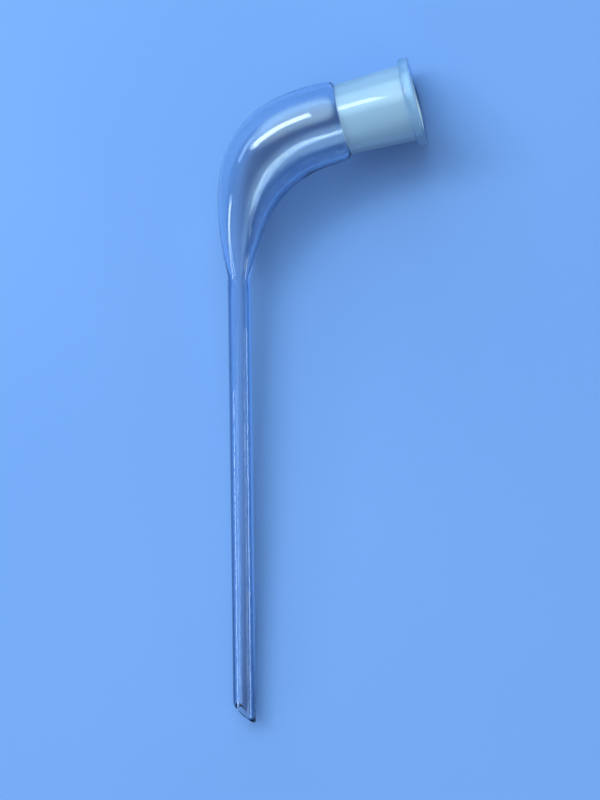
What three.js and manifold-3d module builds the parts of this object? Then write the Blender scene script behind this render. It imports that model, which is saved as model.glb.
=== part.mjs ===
// Receiver adapter with a long drip stem, in clear borosilicate glass.
// It is one fused piece: a ground socket, a bend that narrows, and a thick-walled stem.
// Millimetres, +Z up. The piece lies on its side, as it comes to rest on a bench.

import * as THREE from "three";
import { mergeVertices } from "three/addons/utils/BufferGeometryUtils.js";
import Module from "manifold-3d";

// Ground socket, standard size 29/32 with its 1 in 10 taper.
const SOCKET_LENGTH = 32.0;
const SOCKET_BORE_MOUTH = 29.2;
const SOCKET_BORE_END = 26.0;
const SOCKET_OD_BEAD = 31.9;
const SOCKET_OD_END = 29.6;

// Thick bead round the mouth of the socket.
const BEAD_OD = 37.0;
const BEAD_LENGTH = 4.0;
const BEAD_EDGE_RADIUS = 1.1;
const MOUTH_EDGE_RADIUS = 0.5;

// Drip stem. Its length is from the neck to the lowest point of the cut tip.
const STEM_OD = 10.0;
const STEM_BORE = 5.2;
const STEM_LENGTH = 203.4;
const TIP_SLOPE = 43;

// Bend. The two axes meet at a corner, and the middle line leaves each of them smoothly.
const AXES_ANGLE = 105;
const NECK_TO_CORNER = 55.3;
const SOCKET_TO_CORNER = 45.1;
const NECK_LEAD = 55.8;
const SOCKET_LEAD = 23.6;

// Sections of the bend from the neck (0) to the socket (1): place, outside diameter, bore.
const BEND_SECTIONS = [
  [0, 9.6, 5.0],
  [0.04, 11.2, 6.8],
  [0.1, 13.6, 9.3],
  [0.2, 17.8, 13.7],
  [0.32, 22.6, 18.5],
  [0.44, 28.2, 24.2],
  [0.56, 32.6, 28.7],
  [0.68, 34.7, 30.6],
  [0.8, 34.6, 30.4],
  [0.9, 34.2, 30.0],
  [0.95, 33.8, 29.7],
  [0.98, 33.1, 28.8],
  [0.992, 31.8, 27.3],
  [1, SOCKET_OD_END, SOCKET_BORE_END],
];

// Bending thins the outer side of the wall, so the bore sits this far off the middle there.
const BORE_SHIFT = 0.9;

// Turns that lay the piece down on its bead, its bend and its tip.
const LYING_TURN_X = 2.756;
const LYING_TURN_Y = -0.278;

const ROUND_SIDES = 36;
const STEPS_PER_SECTION = 2;
const EDGE_STEPS = 3;

const glass = new THREE.MeshStandardMaterial({
  color: 0xdfe9ee,
  roughness: 0.05,
  metalness: 0,
});

function quarterRound(centreRadius, centrePlace, radius, fromAngle, toAngle) {
  const arc = new THREE.EllipseCurve(centreRadius, centrePlace, radius, radius, fromAngle, toAngle);
  return arc.getPoints(EDGE_STEPS);
}

function bendSide(column, bendLength) {
  const knots = BEND_SECTIONS.map((row) => new THREE.Vector2(row[column] / 2, row[0] * bendLength));
  return new THREE.SplineCurve(knots).getPoints(STEPS_PER_SECTION * (knots.length - 1));
}

// Section of the straight, unbent tube: radius against the distance from the neck.
function tubeSection(bendLength) {
  const mouth = bendLength + SOCKET_LENGTH;
  const beadStart = mouth - BEAD_LENGTH;
  const beadRim = BEAD_OD / 2 - BEAD_EDGE_RADIUS;
  const outside = [
    new THREE.Vector2(STEM_OD / 2, -STEM_LENGTH),
    new THREE.Vector2(STEM_OD / 2, -2.0),
    ...bendSide(1, bendLength),
    new THREE.Vector2(SOCKET_OD_BEAD / 2, beadStart - 0.8),
    new THREE.Vector2(SOCKET_OD_BEAD / 2 + 0.8, beadStart),
    ...quarterRound(beadRim, beadStart + BEAD_EDGE_RADIUS, BEAD_EDGE_RADIUS, -Math.PI / 2, 0),
    ...quarterRound(beadRim, mouth - BEAD_EDGE_RADIUS, BEAD_EDGE_RADIUS, 0, Math.PI / 2),
  ];
  const lipRadius = SOCKET_BORE_MOUTH / 2 + MOUTH_EDGE_RADIUS;
  const bore = [
    ...quarterRound(lipRadius, mouth - MOUTH_EDGE_RADIUS, MOUTH_EDGE_RADIUS, Math.PI / 2, Math.PI),
    ...bendSide(2, bendLength).reverse(),
    new THREE.Vector2(STEM_BORE / 2, -2.0),
    new THREE.Vector2(STEM_BORE / 2, -STEM_LENGTH),
  ];
  return { outside, bore };
}

// Middle line of the bend, in the plane of the two axes, with their corner at the origin.
function makeRoute() {
  const rise = THREE.MathUtils.degToRad(AXES_ANGLE - 90);
  const alongSocket = new THREE.Vector3(Math.cos(rise), Math.sin(rise), 0);
  const neck = new THREE.Vector3(0, -NECK_TO_CORNER, 0);
  const bend = new THREE.CubicBezierCurve3(
    neck,
    neck.clone().add(new THREE.Vector3(0, NECK_LEAD, 0)),
    alongSocket.clone().multiplyScalar(SOCKET_TO_CORNER - SOCKET_LEAD),
    alongSocket.clone().multiplyScalar(SOCKET_TO_CORNER),
  );
  return { bend, length: bend.getLength(), neck, alongSocket };
}

function placeOnRoute(route, distance) {
  if (distance <= 0) {
    const point = new THREE.Vector3(0, distance, 0).add(route.neck);
    return { point, forward: new THREE.Vector3(0, 1, 0) };
  }
  const part = Math.min(distance / route.length, 1);
  const forward = part < 1 ? route.bend.getTangentAt(part) : route.alongSocket.clone();
  const point = route.bend.getPointAt(part);
  point.addScaledVector(forward, Math.max(distance - route.length, 0));
  return { point, forward };
}

function turnAndBend(route) {
  const { outside, bore } = tubeSection(route.length);
  const section = [...outside, ...bore];
  const tube = new THREE.LatheGeometry([...section, section[0].clone()], ROUND_SIDES);
  const spots = tube.getAttribute("position");
  const squareAcross = new THREE.Vector3(0, 0, 1);
  for (let i = 0; i < spots.count; i += 1) {
    const { point, forward } = placeOnRoute(route, spots.getY(i));
    const toInside = new THREE.Vector3().crossVectors(forward, squareAcross);
    const row = i % (section.length + 1);
    const onBore = row >= outside.length && row < section.length;
    const part = THREE.MathUtils.clamp(spots.getY(i) / route.length, 0, 1);
    const shift = onBore ? BORE_SHIFT * Math.sin(Math.PI * part) ** 2 : 0;
    point.addScaledVector(toInside, spots.getX(i) - shift);
    point.z = spots.getZ(i);
    spots.setXYZ(i, point.x, point.y, point.z);
  }
  return tube;
}

// Block that takes off the end of the stem on the slant.
function tipCutter(route) {
  const size = 60;
  const block = new THREE.BoxGeometry(size, size, size);
  block.translate(0, -size / 2, 0);
  block.rotateZ(-THREE.MathUtils.degToRad(TIP_SLOPE));
  block.translate(STEM_OD / 2, route.neck.y - STEM_LENGTH, 0);
  return block;
}

function toSolid(wasm, geometry) {
  const bare = geometry.clone();
  bare.deleteAttribute("normal");
  bare.deleteAttribute("uv");
  const merged = mergeVertices(bare, 1e-4);
  const mesh = new wasm.Mesh({
    numProp: 3,
    vertProperties: new Float32Array(merged.getAttribute("position").array),
    triVerts: new Uint32Array(merged.getIndex().array),
  });
  return new wasm.Manifold(mesh);
}

function toGeometry(solid) {
  const mesh = solid.getMesh();
  const geometry = new THREE.BufferGeometry();
  geometry.setAttribute("position", new THREE.BufferAttribute(mesh.vertProperties, 3));
  geometry.setIndex(new THREE.BufferAttribute(mesh.triVerts, 1));
  return geometry;
}

function layDown(geometry) {
  geometry.rotateX(THREE.MathUtils.degToRad(LYING_TURN_X));
  geometry.rotateY(THREE.MathUtils.degToRad(LYING_TURN_Y));
  geometry.computeBoundingBox();
  const middle = geometry.boundingBox.getCenter(new THREE.Vector3());
  geometry.translate(-middle.x, -middle.y, -geometry.boundingBox.min.z);
}

const wasm = await Module();
wasm.setup();

const route = makeRoute();
const tube = toSolid(wasm, turnAndBend(route));
const body = toGeometry(tube.subtract(toSolid(wasm, tipCutter(route))));
layDown(body);
body.computeVertexNormals();

const adapterBody = new THREE.Mesh(body, glass);
adapterBody.name = "adapter_body";

const adapter = new THREE.Group();
adapter.name = "receiver_adapter";
adapter.add(adapterBody);

export default adapter;
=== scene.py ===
"""Receiver adapter in clear borosilicate glass: ground socket, narrowing bend, long drip stem.

One fused piece of glass lies on its side on a pale bench. Lengths are in millimetres until
they reach the mesh, which is in metres.
"""

from math import cos, pi, radians, sin, tan

import bmesh
import bpy
from mathutils import Matrix, Vector


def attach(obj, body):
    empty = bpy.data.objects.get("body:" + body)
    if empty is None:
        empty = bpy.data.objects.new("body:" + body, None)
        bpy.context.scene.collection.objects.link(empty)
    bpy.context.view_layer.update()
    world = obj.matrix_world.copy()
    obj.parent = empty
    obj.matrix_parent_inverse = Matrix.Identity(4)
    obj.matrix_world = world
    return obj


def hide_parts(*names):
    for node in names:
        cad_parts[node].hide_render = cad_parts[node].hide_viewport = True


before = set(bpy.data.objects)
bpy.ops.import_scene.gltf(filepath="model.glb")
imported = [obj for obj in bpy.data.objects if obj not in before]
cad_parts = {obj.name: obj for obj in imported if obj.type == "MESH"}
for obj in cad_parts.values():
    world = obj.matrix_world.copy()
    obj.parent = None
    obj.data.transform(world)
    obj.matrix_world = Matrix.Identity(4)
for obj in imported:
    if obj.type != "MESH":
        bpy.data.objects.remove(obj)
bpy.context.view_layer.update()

MM = 0.001

# Ground socket, size 29/32.
SOCKET_LENGTH = 32.0
SOCKET_BORE_MOUTH = 29.2
SOCKET_BORE_END = 26.0
SOCKET_OD_BEAD = 31.9
SOCKET_OD_END = 29.6

# Bead round the mouth.
BEAD_OD = 36.9
BEAD_LENGTH = 4.0
BEAD_EDGE_RADIUS = 1.1
MOUTH_EDGE_RADIUS = 0.5

# Drip stem with its slanted, melted tip.
STEM_OD = 10.0
STEM_BORE = 5.2
STEM_LENGTH = 203.4
TIP_SLOPE = 43
TIP_MELT_RADIUS = 0.45
TIP_SLIDE_LENGTH = 26.0

# Bend.
AXES_ANGLE = 105
NECK_TO_CORNER = 55.3
SOCKET_TO_CORNER = 45.1
NECK_LEAD = 55.8
SOCKET_LEAD = 23.6
BORE_SHIFT = 0.9
# Each row: share of the bend's length, outside diameter, bore diameter.
BEND_SECTIONS = [
    (0, 9.6, 5.0),
    (0.04, 11.2, 6.8),
    (0.1, 13.6, 9.3),
    (0.2, 17.8, 13.7),
    (0.32, 22.6, 18.5),
    (0.44, 28.2, 24.2),
    (0.56, 32.6, 28.7),
    (0.68, 34.7, 30.6),
    (0.8, 34.6, 30.4),
    (0.9, 34.2, 30.0),
    (0.95, 33.8, 29.7),
    (0.98, 33.1, 28.8),
    (0.992, 31.8, 27.3),
    (1, SOCKET_OD_END, SOCKET_BORE_END),
]

# The skin: sides round each ring, and how far the bore of the bend wavers by hand.
SIDES = 144
HAND_WAVER = 0.28
# The skin stays a hair inside the overall sizes.
SKIN_SCALE = 0.9992

# The glass. The ground bore lets this share of the light through and scatters the rest as milk.
GLASS_IOR = 1.47
CLEAR_TINT = (0.985, 0.995, 1, 1)
GROUND_TINT = (0.72, 0.84, 0.90, 1)
GROUND_CLEARNESS = 0.35
DEPTH_COLOUR = (0.25, 0.55, 0.85, 1)
DEPTH_DENSITY = 125.0

# How the piece lies: two turns, and the place of the corner where its two axes meet.
LYING_TURN_X = 2.756
LYING_TURN_Y = -0.278
CORNER_PLACE = (-35.20, 110.44, 17.225)


# ---------------------------------------------------------------- the tube's section

def quarter_round(centre_radius, centre_place, radius, start, end, steps=7):
    """Points of a rounded edge, each a radius and a place along the tube."""
    turns = [start + (end - start) * i / steps for i in range(steps + 1)]
    return [(centre_radius + radius * cos(a), centre_place + radius * sin(a)) for a in turns]


def smooth_through(knots, steps):
    """A smooth line through the knots."""
    line = []
    last = len(knots) - 1
    for i in range(last):
        around = [knots[max(i - 1, 0)], knots[i], knots[i + 1], knots[min(i + 2, last)]]
        for j in range(steps):
            t = j / steps
            point = []
            for a, b, c, d in zip(*around):
                slope_in = (c - a) / 2
                slope_out = (d - b) / 2
                point.append(
                    (2 * b - 2 * c + slope_in + slope_out) * t ** 3
                    + (3 * c - 3 * b - 2 * slope_in - slope_out) * t ** 2
                    + slope_in * t
                    + b
                )
            line.append(tuple(point))
    line.append(tuple(knots[-1]))
    return line


def bend_side(column, bend_length, steps=9):
    """One side of the bend: column 1 is its outside, column 2 its bore."""
    knots = [(row[column] / 2, row[0] * bend_length) for row in BEND_SECTIONS]
    return smooth_through(knots, steps)


def outside_line(bend_length):
    """The outside from the tip to the mouth, each point a radius and a place."""
    mouth = bend_length + SOCKET_LENGTH
    bead_start = mouth - BEAD_LENGTH
    bead_rim = BEAD_OD / 2 - BEAD_EDGE_RADIUS
    melt = TIP_MELT_RADIUS
    stem = STEM_OD / 2
    socket = SOCKET_OD_BEAD / 2
    return [
        *quarter_round(stem - melt, melt - STEM_LENGTH, melt, -pi / 2, 0),
        *[(stem, melt + 2.2 * i - STEM_LENGTH) for i in range(1, 13)],
        (stem, -60.0),
        (stem, -12.0),
        (stem, -6.0),
        (stem - 0.02, -3.4),
        (stem - 0.1, -1.6),
        *bend_side(1, bend_length),
        (SOCKET_OD_END / 2 + 0.02, bend_length + 0.5),
        (socket, bead_start - 0.8),
        *quarter_round(socket + 0.6, bead_start - 0.6, 0.6, pi, pi / 2),
        *quarter_round(bead_rim, bead_start + BEAD_EDGE_RADIUS, BEAD_EDGE_RADIUS, -pi / 2, 0),
        *quarter_round(bead_rim, mouth - BEAD_EDGE_RADIUS, BEAD_EDGE_RADIUS, 0, pi / 2),
    ]


def bore_line(bend_length):
    """The bore from the mouth back to the tip, each point a radius and a place."""
    mouth = bend_length + SOCKET_LENGTH
    lip = SOCKET_BORE_MOUTH / 2 + MOUTH_EDGE_RADIUS
    melt = TIP_MELT_RADIUS
    stem = STEM_BORE / 2
    ground = []
    for depth in (0.7, 0.8, 6, 12, 18, 24, 30, 31.9):
        wide = SOCKET_BORE_MOUTH - (SOCKET_BORE_MOUTH - SOCKET_BORE_END) * depth / SOCKET_LENGTH
        ground.append((wide / 2, mouth - depth))
    return [
        *quarter_round(lip, mouth - MOUTH_EDGE_RADIUS, MOUTH_EDGE_RADIUS, pi / 2, pi),
        *ground,
        *reversed(bend_side(2, bend_length)),
        (stem - 0.16, -1.2),
        (stem - 0.28, -2.6),
        (stem - 0.12, -4.2),
        (stem, -6.0),
        (stem, -12.0),
        (stem, -60.0),
        *[(stem, melt + 2.2 * i - STEM_LENGTH) for i in range(12, 0, -1)],
        *quarter_round(stem + melt, melt - STEM_LENGTH, melt, pi, 3 * pi / 2),
    ]


def section_rows(bend_length):
    """Every ring of the tube: radius, place, bore shift, slide of the slanted tip, ground."""
    rows = []
    ground_from = bend_length + 0.05
    ground_to = bend_length + SOCKET_LENGTH - 0.75
    for on_bore, line in ((False, outside_line(bend_length)), (True, bore_line(bend_length))):
        for radius, place in line:
            part = min(max(place / bend_length, 0), 1)
            shift = BORE_SHIFT * sin(pi * part) ** 2 if on_bore else 0
            above_tip = (place + STEM_LENGTH) / TIP_SLIDE_LENGTH
            slide = tan(radians(TIP_SLOPE)) * max(1 - above_tip, 0)
            ground = 1.0 if on_bore and ground_from <= place <= ground_to else 0.0
            rows.append((radius, place, shift, slide, ground))
    return rows


# ---------------------------------------------------------------- route and helper shapes

def along_socket():
    """Direction of the socket's axis, seen from the corner of the two axes."""
    rise = radians(AXES_ANGLE - 90)
    return Vector((cos(rise), sin(rise), 0))


def make_route():
    """Middle line from the tip to the mouth, with the corner of the two axes at the origin."""
    neck = Vector((0, -NECK_TO_CORNER, 0))
    seam = along_socket() * SOCKET_TO_CORNER
    knots = [
        (neck - Vector((0, STEM_LENGTH + 1, 0)), 1, 1),
        (neck, 1, NECK_LEAD),
        (seam, SOCKET_LEAD, 1),
        (seam + along_socket() * (SOCKET_LENGTH + 1), 1, 1),
    ]
    headings = [Vector((0, 1, 0)), Vector((0, 1, 0)), along_socket(), along_socket()]
    line = bpy.data.curves.new("route", "CURVE")
    line.dimensions = "3D"
    line.resolution_u = 128
    spline = line.splines.new("BEZIER")
    spline.bezier_points.add(len(knots) - 1)
    for point, (spot, back, ahead), heading in zip(spline.bezier_points, knots, headings):
        point.handle_left_type = point.handle_right_type = "FREE"
        point.co = spot * MM
        point.handle_left = (spot - heading * back) * MM
        point.handle_right = (spot + heading * ahead) * MM
    route = bpy.data.objects.new("route", line)
    bpy.context.scene.collection.objects.link(route)
    return route


def bend_length_of(steps=4000):
    """Length of the middle line of the bend alone."""
    start = Vector((0, -NECK_TO_CORNER, 0))
    end = along_socket() * SOCKET_TO_CORNER
    lead_in = start + Vector((0, NECK_LEAD, 0))
    lead_out = end - along_socket() * SOCKET_LEAD
    length = 0
    before = start
    for i in range(1, steps + 1):
        t = i / steps
        spot = (
            start * (1 - t) ** 3
            + lead_in * 3 * (1 - t) ** 2 * t
            + lead_out * 3 * (1 - t) * t ** 2
            + end * t ** 3
        )
        length += (spot - before).length
        before = spot
    return length


def make_section(rows):
    """One point for each ring, carrying the ring's sizes as attributes."""
    mesh = bpy.data.meshes.new("section")
    mesh.from_pydata([(row[0] * MM, row[1] * MM, 0) for row in rows], [], [])
    names = ("ring_radius", "ring_place", "ring_shift", "ring_slide", "ring_ground")
    scales = (MM, MM, MM, 1, 1)
    for column, (name, scale) in enumerate(zip(names, scales)):
        values = mesh.attributes.new(name, "FLOAT", "POINT")
        values.data.foreach_set("value", [row[column] * scale for row in rows])
    section = bpy.data.objects.new("section", mesh)
    bpy.context.scene.collection.objects.link(section)
    return section


# ---------------------------------------------------------------- materials

def new_material(name):
    material = bpy.data.materials.new(name)
    material.use_nodes = True
    nodes = material.node_tree.nodes
    nodes.clear()
    return material, nodes, material.node_tree.links


def place_texture(nodes, links, texture, scale):
    """Lays a texture on the piece's own coordinates, stretched by the scale."""
    where = nodes.new("ShaderNodeTexCoord")
    stretch = nodes.new("ShaderNodeMapping")
    stretch.inputs["Scale"].default_value = scale
    links.new(where.outputs["Object"], stretch.inputs["Vector"])
    links.new(stretch.outputs["Vector"], texture.inputs["Vector"])


def noise(nodes, scale, detail, roughness=0.5):
    texture = nodes.new("ShaderNodeTexNoise")
    texture.inputs["Scale"].default_value = scale
    texture.inputs["Detail"].default_value = detail
    texture.inputs["Roughness"].default_value = roughness
    return texture


def ranged(nodes, links, value, low, high, start=0.3, end=0.7):
    spread = nodes.new("ShaderNodeMapRange")
    spread.inputs["From Min"].default_value = start
    spread.inputs["From Max"].default_value = end
    spread.inputs["To Min"].default_value = low
    spread.inputs["To Max"].default_value = high
    links.new(value, spread.inputs["Value"])
    return spread.outputs["Result"]


def mixed(nodes, links, kind, share, clear_value, ground_value):
    """One value on the clear glass and another on the ground bore."""
    blend = nodes.new("ShaderNodeMix")
    blend.data_type = kind
    links.new(share, blend.inputs["Factor"])
    first, second = [s for s in blend.inputs if s.enabled and s.name in ("A", "B")]
    for socket, value in ((first, clear_value), (second, ground_value)):
        if isinstance(value, bpy.types.NodeSocket):
            links.new(value, socket)
        else:
            socket.default_value = value
    return next(s for s in blend.outputs if s.enabled)


def make_glass():
    """Fire-polished borosilicate, ground matt on the bore of the socket by a tapered lap."""
    material, nodes, links = new_material("borosilicate_glass")
    shader = nodes.new("ShaderNodeBsdfPrincipled")
    shader.inputs["IOR"].default_value = GLASS_IOR

    mark = nodes.new("ShaderNodeAttribute")
    mark.attribute_name = "ground"
    edge = nodes.new("ShaderNodeMapRange")
    edge.interpolation_type = "SMOOTHSTEP"
    edge.inputs["From Min"].default_value = 0.75
    edge.inputs["From Max"].default_value = 1.0
    links.new(mark.outputs["Fac"], edge.inputs["Value"])
    ground = edge.outputs["Result"]

    film = noise(nodes, 40, 3, 0.6)
    place_texture(nodes, links, film, (1, 1, 1))
    polished = ranged(nodes, links, film.outputs["Fac"], 0.002, 0.005)
    patches = noise(nodes, 90, 3)
    place_texture(nodes, links, patches, (1, 1, 1))
    matt = ranged(nodes, links, patches.outputs["Fac"], 0.44, 0.58)
    roughness = mixed(nodes, links, "FLOAT", ground, polished, matt)
    links.new(roughness, shader.inputs["Roughness"])
    clearness = mixed(nodes, links, "FLOAT", ground, 1.0, GROUND_CLEARNESS)
    links.new(clearness, shader.inputs["Transmission Weight"])
    tint = mixed(nodes, links, "RGBA", ground, CLEAR_TINT, GROUND_TINT)
    links.new(tint, shader.inputs["Base Color"])

    ream = noise(nodes, 45, 1)
    place_texture(nodes, links, ream, (1.0, 0.35, 1.0))
    grit = noise(nodes, 1400, 4, 0.7)
    place_texture(nodes, links, grit, (1, 1, 1))
    faint = ranged(nodes, links, ream.outputs["Fac"], 0.0, 0.02, 0, 1)
    relief = mixed(nodes, links, "FLOAT", ground, faint, grit.outputs["Fac"])
    bump = nodes.new("ShaderNodeBump")
    bump.inputs["Strength"].default_value = 0.2
    bump.inputs["Distance"].default_value = 0.0002
    links.new(relief, bump.inputs["Height"])
    links.new(bump.outputs["Normal"], shader.inputs["Normal"])

    depth = nodes.new("ShaderNodeVolumeAbsorption")
    depth.inputs["Color"].default_value = DEPTH_COLOUR
    depth.inputs["Density"].default_value = DEPTH_DENSITY
    out = nodes.new("ShaderNodeOutputMaterial")
    links.new(shader.outputs["BSDF"], out.inputs["Surface"])
    links.new(depth.outputs["Volume"], out.inputs["Volume"])
    return material


def make_bench_finish():
    """A matt, nearly even pale blue."""
    material, nodes, links = new_material("pale_bench")
    shader = nodes.new("ShaderNodeBsdfPrincipled")
    shader.inputs["Roughness"].default_value = 0.75
    tone = noise(nodes, 3, 2)
    place_texture(nodes, links, tone, (1, 1, 1))
    ramp = nodes.new("ShaderNodeValToRGB")
    ramp.color_ramp.elements[0].position = 0.35
    ramp.color_ramp.elements[0].color = (0.138, 0.262, 0.565, 1)
    ramp.color_ramp.elements[1].position = 0.65
    ramp.color_ramp.elements[1].color = (0.152, 0.278, 0.585, 1)
    links.new(tone.outputs["Fac"], ramp.inputs["Fac"])
    links.new(ramp.outputs["Color"], shader.inputs["Base Color"])
    out = nodes.new("ShaderNodeOutputMaterial")
    links.new(shader.outputs["BSDF"], out.inputs["Surface"])
    return material


# ---------------------------------------------------------------- the glass body

class Tree:
    """A geometry node tree that is wired by short calls."""

    def __init__(self, name):
        self.group = bpy.data.node_groups.new(name, "GeometryNodeTree")
        self.nodes = self.group.nodes
        self.links = self.group.links

    def take(self, name, kind):
        return self.group.interface.new_socket(name=name, in_out="INPUT", socket_type=kind)

    def add(self, kind, settings=None, **wires):
        node = self.nodes.new(kind)
        for key, value in (settings or {}).items():
            setattr(node, key, value)
        for key, value in wires.items():
            self.wire(node, key, value)
        return node

    def wire(self, node, key, value):
        name = key.replace("_", " ")
        if key.startswith("in"):
            socket = node.inputs[int(key[2:])]
        else:
            socket = next(s for s in node.inputs if s.name == name and s.enabled)
        if isinstance(value, bpy.types.NodeSocket):
            self.links.new(value, socket)
        else:
            socket.default_value = value

    def math(self, operation, first, second=0.0, third=0.0):
        node = self.add("ShaderNodeMath", {"operation": operation}, in0=first, in1=second)
        if operation == "MULTIPLY_ADD":
            self.wire(node, "in2", third)
        return node.outputs[0]

    def vector(self, operation, first, second=None, scale=None):
        node = self.add("ShaderNodeVectorMath", {"operation": operation}, in0=first)
        if second is not None:
            self.wire(node, "in1", second)
        if scale is not None:
            self.wire(node, "Scale", scale)
        return node.outputs[0]


def bent_tube_tree():
    """Lays rings of the section's sizes along the route and closes them into one skin."""
    tree = Tree("bent_tube")
    tree.take("Section", "NodeSocketObject")
    tree.take("Route", "NodeSocketObject")
    tree.take("Rings", "NodeSocketInt")
    tree.take("Sides", "NodeSocketInt")
    tree.take("Stem Reach", "NodeSocketFloat")
    tree.take("Stem Radius", "NodeSocketFloat")
    tree.take("Hand Waver", "NodeSocketFloat")
    tree.take("Glass", "NodeSocketMaterial")
    tree.group.interface.new_socket(
        name="Geometry", in_out="OUTPUT", socket_type="NodeSocketGeometry"
    )
    given = tree.add("NodeGroupInput").outputs

    section = tree.add("GeometryNodeObjectInfo", Object=given["Section"]).outputs["Geometry"]
    route = tree.add("GeometryNodeObjectInfo", Object=given["Route"]).outputs["Geometry"]

    rings_and_one = tree.math("ADD", given["Rings"], 1)
    sides_and_one = tree.math("ADD", given["Sides"], 1)
    sheet = tree.add("GeometryNodeMeshGrid", Vertices_X=rings_and_one, Vertices_Y=sides_and_one)
    index = tree.add("GeometryNodeInputIndex").outputs[0]
    row = tree.math("FLOOR", tree.math("DIVIDE", tree.math("ADD", index, 0.5), sides_and_one))
    column = tree.math("SUBTRACT", index, tree.math("MULTIPLY", row, sides_and_one))
    ring = tree.math("MODULO", row, given["Rings"])

    def ring_size(name):
        value = tree.add("GeometryNodeInputNamedAttribute", {"data_type": "FLOAT"}, Name=name)
        sample = tree.add("GeometryNodeSampleIndex", {"data_type": "FLOAT", "domain": "POINT"})
        tree.wire(sample, "Geometry", section)
        tree.wire(sample, "Value", value.outputs[0])
        tree.wire(sample, "Index", ring)
        return sample.outputs[0]

    radius = ring_size("ring_radius")
    place = ring_size("ring_place")
    shift = ring_size("ring_shift")
    slide = ring_size("ring_slide")
    ground = ring_size("ring_ground")

    around = tree.math("MULTIPLY", tree.math("DIVIDE", column, given["Sides"]), 2 * pi)
    across = tree.math("MULTIPLY", radius, tree.math("COSINE", around))
    upward = tree.math("MULTIPLY", radius, tree.math("SINE", around))

    length = tree.math("ADD", place, given["Stem Reach"])
    follow = tree.add("GeometryNodeSampleCurve", {"mode": "LENGTH"})
    tree.wire(follow, "Curves", route)
    tree.wire(follow, "Length", length)
    spot = follow.outputs["Position"]
    forward = follow.outputs["Tangent"]
    inside = tree.vector("CROSS_PRODUCT", forward, (0.0, 0.0, 1.0))

    # The bore alone wavers by hand, as hot glass does when it is bent by eye.
    waver = tree.add("ShaderNodeTexNoise", {"noise_dimensions": "3D"}, Scale=38.0, Detail=1.0)
    bend_spot = tree.add("ShaderNodeCombineXYZ", in0=across, in1=place, in2=upward).outputs[0]
    tree.wire(waver, "Vector", bend_spot)
    give = tree.math("SUBTRACT", waver.outputs[0], 0.5)
    looseness = tree.math("DIVIDE", shift, BORE_SHIFT * MM)
    swing = tree.math("MULTIPLY", tree.math("MULTIPLY", give, looseness), given["Hand Waver"])
    wavered = tree.math("ADD", 1.0, tree.math("DIVIDE", swing, radius))

    inward = tree.math("SUBTRACT", tree.math("MULTIPLY", across, wavered), shift)
    raised = tree.math("MULTIPLY", upward, wavered)
    slid = tree.math("MULTIPLY", slide, tree.math("SUBTRACT", given["Stem Radius"], across))

    at_inside = tree.vector("ADD", spot, tree.vector("SCALE", inside, scale=inward))
    at_slide = tree.vector("ADD", at_inside, tree.vector("SCALE", forward, scale=slid))
    lift = tree.add("ShaderNodeCombineXYZ", in2=raised).outputs[0]
    final = tree.vector("ADD", at_slide, lift)

    marked = tree.add(
        "GeometryNodeStoreNamedAttribute",
        {"data_type": "FLOAT", "domain": "POINT"},
        Geometry=sheet.outputs["Mesh"],
        Name="ground",
        Value=ground,
    )
    laid = tree.add("GeometryNodeSetPosition", Geometry=marked.outputs[0], Position=final)
    closed = tree.add("GeometryNodeMergeByDistance", Geometry=laid.outputs[0], Distance=1e-6)
    smooth = tree.add("GeometryNodeSetShadeSmooth", Geometry=closed.outputs[0])
    real = tree.add("GeometryNodeRealizeInstances", Geometry=smooth.outputs[0])
    glazed = tree.add("GeometryNodeSetMaterial", Geometry=real.outputs[0], Material=given["Glass"])
    out = tree.add("NodeGroupOutput")
    tree.links.new(glazed.outputs[0], out.inputs[0])
    return tree.group


def set_inputs(modifier, values):
    """Sets a tree's inputs by identifier, from a dictionary by name."""
    for item in modifier.node_group.interface.items_tree:
        if item.item_type == "SOCKET" and item.in_out == "INPUT":
            modifier[item.identifier] = values[item.name]


def lying_matrix():
    """From the piece's upright frame, corner at the origin, to its place on the bench."""
    turn = Matrix.Rotation(radians(LYING_TURN_Y), 4, "Y") @ Matrix.Rotation(
        radians(LYING_TURN_X), 4, "X"
    )
    return Matrix.Translation(Vector(CORNER_PLACE) * MM) @ turn


def make_body(glass):
    """The whole adapter as one closed skin, lying where it came to rest."""
    rows = section_rows(bend_length_of())
    section = make_section(rows)
    route = make_route()
    blank = bpy.data.objects.new("adapter_glass_blank", bpy.data.meshes.new("blank"))
    bpy.context.scene.collection.objects.link(blank)
    modifier = blank.modifiers.new("bent_tube", "NODES")
    modifier.node_group = bent_tube_tree()
    set_inputs(modifier, {
        "Section": section,
        "Route": route,
        "Rings": len(rows),
        "Sides": SIDES,
        "Stem Reach": (STEM_LENGTH + 1) * MM,
        "Stem Radius": STEM_OD / 2 * MM,
        "Hand Waver": HAND_WAVER * MM,
        "Glass": glass,
    })
    bpy.context.view_layer.update()
    ready = blank.evaluated_get(bpy.context.evaluated_depsgraph_get())
    mesh = bpy.data.meshes.new_from_object(ready)
    for helper in (blank, section, route):
        bpy.data.objects.remove(helper)
    mesh.name = "adapter_glass"
    while mesh.materials[0] is None:
        mesh.materials.pop(index=0)
    mesh.transform(Matrix.Scale(SKIN_SCALE, 4) @ lying_matrix())
    work = bmesh.new()
    work.from_mesh(mesh)
    bmesh.ops.recalc_face_normals(work, faces=work.faces)
    work.to_mesh(mesh)
    work.free()
    body = bpy.data.objects.new("adapter_glass", mesh)
    bpy.context.scene.collection.objects.link(body)
    return body


# ---------------------------------------------------------------- bench, lights and camera

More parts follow.
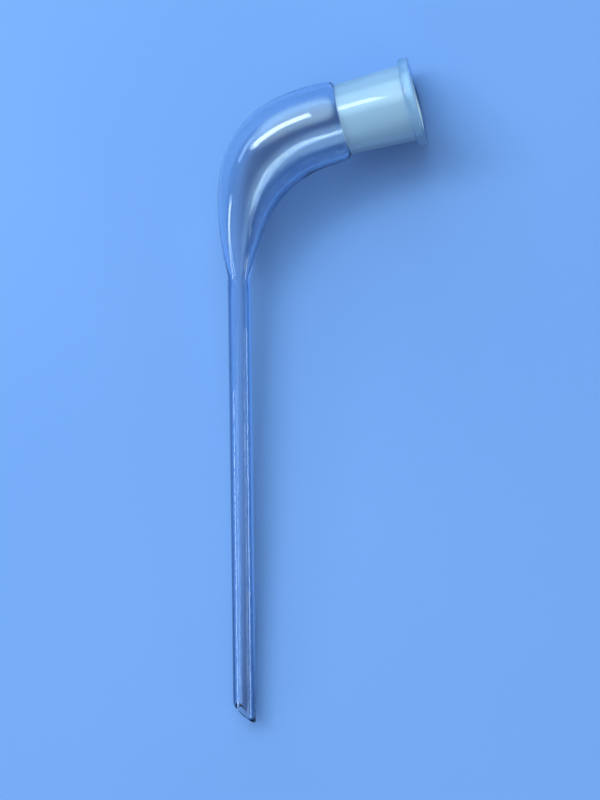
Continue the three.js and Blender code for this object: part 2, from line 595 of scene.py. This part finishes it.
def make_bench():
    """A plain flat top that the piece lies on."""
    mesh = bpy.data.meshes.new("bench")
    reach = 3.0
    corners = [(-reach, -reach, 0), (reach, -reach, 0), (reach, reach, 0), (-reach, reach, 0)]
    mesh.from_pydata(corners, [], [(0, 1, 2, 3)])
    mesh.materials.append(make_bench_finish())
    bench = bpy.data.objects.new("bench", mesh)
    bpy.context.scene.collection.objects.link(bench)
    return bench


def add_softbox(name, place, target, along, size, power, colour):
    """A rectangular lamp that faces the target, with its long side along the given line."""
    lamp = bpy.data.lights.new(name, "AREA")
    lamp.shape = "RECTANGLE"
    lamp.size, lamp.size_y = size
    lamp.energy = power
    lamp.color = colour
    back = (Vector(place) - Vector(target)).normalized()
    long_side = (Vector(along) - back * back.dot(Vector(along))).normalized()
    short_side = back.cross(long_side)
    columns = (long_side, short_side, back)
    turn = Matrix([[axis[i] for axis in columns] for i in range(3)]).to_4x4()
    softbox = bpy.data.objects.new(name, lamp)
    softbox.matrix_world = Matrix.Translation(place) @ turn
    bpy.context.scene.collection.objects.link(softbox)
    return softbox


def light_the_room():
    """A wide window glow, a dim ceiling over a dark horizon, and three softboxes."""
    world = bpy.data.worlds.new("studio")
    bpy.context.scene.world = world
    world.use_nodes = True
    nodes = world.node_tree.nodes
    links = world.node_tree.links
    where = nodes.new("ShaderNodeTexCoord")
    toward_window = nodes.new("ShaderNodeVectorMath")
    toward_window.operation = "DOT_PRODUCT"
    toward_window.inputs[1].default_value = Vector((-0.35, 0.72, 0.60)).normalized()
    links.new(where.outputs["Generated"], toward_window.inputs[0])
    glow = nodes.new("ShaderNodeValToRGB")
    glow.color_ramp.elements[0].position = 0.74
    glow.color_ramp.elements[0].color = (0.0, 0.0, 0.0, 1)
    glow.color_ramp.elements[1].position = 0.93
    glow.color_ramp.elements[1].color = (0.64, 0.92, 1.0, 1)
    links.new(toward_window.outputs["Value"], glow.inputs["Fac"])
    height = nodes.new("ShaderNodeSeparateXYZ")
    links.new(where.outputs["Generated"], height.inputs["Vector"])
    ceiling = nodes.new("ShaderNodeValToRGB")
    ceiling.color_ramp.elements[0].position = 0.44
    ceiling.color_ramp.elements[0].color = (0.001, 0.003, 0.008, 1)
    ceiling.color_ramp.elements[1].position = 0.62
    ceiling.color_ramp.elements[1].color = (0.080, 0.095, 0.11, 1)
    links.new(height.outputs["Z"], ceiling.inputs["Fac"])
    room = nodes.new("ShaderNodeVectorMath")
    links.new(glow.outputs["Color"], room.inputs[0])
    links.new(ceiling.outputs["Color"], room.inputs[1])
    backdrop = nodes["Background"]
    links.new(room.outputs["Vector"], backdrop.inputs["Color"])
    backdrop.inputs["Strength"].default_value = 4.7
    bend = (-0.01, 0.11, 0.02)
    stem = (-0.035, -0.05, 0.01)
    white = (0.86, 0.97, 1.0)
    upstem = (0, 1, 0)
    add_softbox(
        "main_softbox", (-0.505, 0.54, 0.63), bend, (0.44, 0.33, 0.12), (0.62, 0.19), 4.2, white
    )
    add_softbox("left_strip", (-0.66, -0.36, 0.24), stem, upstem, (0.32, 0.12), 0.95, white)
    add_softbox("right_strip", (0.66, -0.33, 0.24), stem, upstem, (0.32, 0.12), 0.8, white)


def set_camera():
    """Looks down on the piece, from above the level of its two axes and a little to the mouth."""
    distance = 1034 * MM
    above = radians(16.1)
    round_to_mouth = radians(3.7)
    roll = radians(-0.28)
    target = Vector((25.4, -109.2, 0)) * MM
    lying = lying_matrix()
    toward = Vector(
        (sin(round_to_mouth) * cos(above), sin(above), cos(round_to_mouth) * cos(above))
    )
    right = Vector((0, 1, 0)).cross(toward).normalized()
    up = toward.cross(right)
    right, up = right * cos(roll) + up * sin(roll), up * cos(roll) - right * sin(roll)
    columns = [right, up, toward]
    turn = Matrix([[axis[i] for axis in columns] for i in range(3)]).to_4x4()
    lens = bpy.data.cameras.new("camera")
    lens.sensor_fit = "VERTICAL"
    lens.sensor_height = 36
    lens.lens = 108.9
    camera = bpy.data.objects.new("camera", lens)
    camera.matrix_world = lying @ Matrix.Translation(target + toward * distance) @ turn
    bpy.context.scene.collection.objects.link(camera)
    bpy.context.scene.camera = camera


bpy.context.scene.view_settings.view_transform = "Standard"
set_camera()
body = make_body(make_glass())
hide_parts("adapter_body")
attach(body, "root")
make_bench()
light_the_room()
